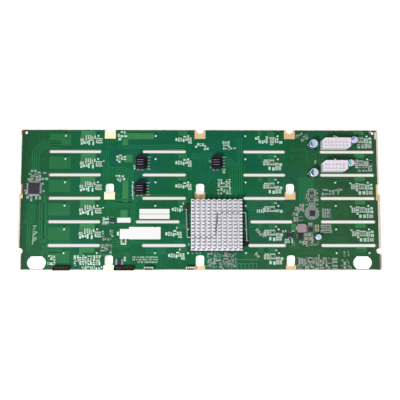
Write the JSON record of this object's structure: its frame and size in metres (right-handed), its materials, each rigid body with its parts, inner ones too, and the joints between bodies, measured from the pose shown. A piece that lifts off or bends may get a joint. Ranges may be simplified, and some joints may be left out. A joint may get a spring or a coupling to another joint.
{
  "type": "drive backplane board",
  "caption": "Rectangular circuit board for a storage server's drive bays, with drive receptacles on one side and a clipped pin-fin heatsink, cable sockets and power headers on the other.",
  "frame": {"origin": "middle of the board's outline, at the level of the drive receptacles' mating faces, which the board lies on", "axes": "+X along the board's long edges, +Y across the board away from its edge with the oval holes, +Z out of the component side"},
  "size_m": [0.43, 0.168, 0.0242],
  "materials": {
    "board": "green solder mask over glass laminate",
    "receptacle_black": "moulded black",
    "heatsink_aluminium": "sawn and extruded, bare",
    "chip_package": "moulded dark grey",
    "clip_wire": "bright drawn wire",
    "anchor_black": "moulded black",
    "socket_black": "moulded black",
    "header_white": "moulded natural nylon",
    "tinned_pin": "tin plated",
    "can_aluminium": "drawn can with a coloured polarity mark",
    "inductor_grey": "pressed powder block",
    "socket_beige": "moulded beige"
  },
  "bodies": {
    "root": {"anchor_loop_left": "clip_wire", "anchor_loop_right": "clip_wire", "board": "board", "cable_socket_1": "socket_black", "cable_socket_2": "socket_black", "cable_socket_3": "socket_black", "can_capacitor_1": "can_aluminium", "can_capacitor_2": "can_aluminium", "can_capacitor_3": "can_aluminium", "can_capacitor_4": "can_aluminium", "clip_anchor_left": "anchor_black", "clip_anchor_right": "anchor_black", "clock_buffer": "chip_package", "drive_receptacle_r1c1": "receptacle_black", "drive_receptacle_r1c2": "receptacle_black", "drive_receptacle_r1c3": "receptacle_black", "drive_receptacle_r1c4": "receptacle_black", "drive_receptacle_r2c1": "receptacle_black", "drive_receptacle_r2c2": "receptacle_black", "drive_receptacle_r2c3": "receptacle_black", "drive_receptacle_r2c4": "receptacle_black", "drive_receptacle_r3c1": "receptacle_black", "drive_receptacle_r3c2": "receptacle_black", "drive_receptacle_r3c3": "receptacle_black", "drive_receptacle_r3c4": "receptacle_black", "drive_receptacle_r4c1": "receptacle_black", "drive_receptacle_r4c2": "receptacle_black", "drive_receptacle_r4c3": "receptacle_black", "drive_receptacle_r4c4": "receptacle_black", "drive_receptacle_r5c1": "receptacle_black", "drive_receptacle_r5c2": "receptacle_black", "drive_receptacle_r5c3": "receptacle_black", "drive_receptacle_r5c4": "receptacle_black", "drive_receptacle_r6c1": "receptacle_black", "drive_receptacle_r6c2": "receptacle_black", "drive_receptacle_r6c3": "receptacle_black", "drive_receptacle_r6c4": "receptacle_black", "enclosure_controller": "chip_package", "expander_chip": "chip_package", "flash_memory": "chip_package", "heatsink": "heatsink_aluminium", "heatsink_clip": "clip_wire", "jumper_socket_1": "socket_beige", "jumper_socket_2": "socket_beige", "level_shifter": "chip_package", "power_header_1": "header_white", "power_header_2": "header_white", "power_inductor": "inductor_grey", "power_pins_1": "tinned_pin", "power_pins_2": "tinned_pin", "regulator_chip_1": "chip_package", "regulator_chip_2": "chip_package", "regulator_chip_3": "chip_package", "sensor_header_1": "socket_black", "sensor_header_2": "socket_black", "small_can_capacitor": "can_aluminium"}
  },
  "joints": []
}
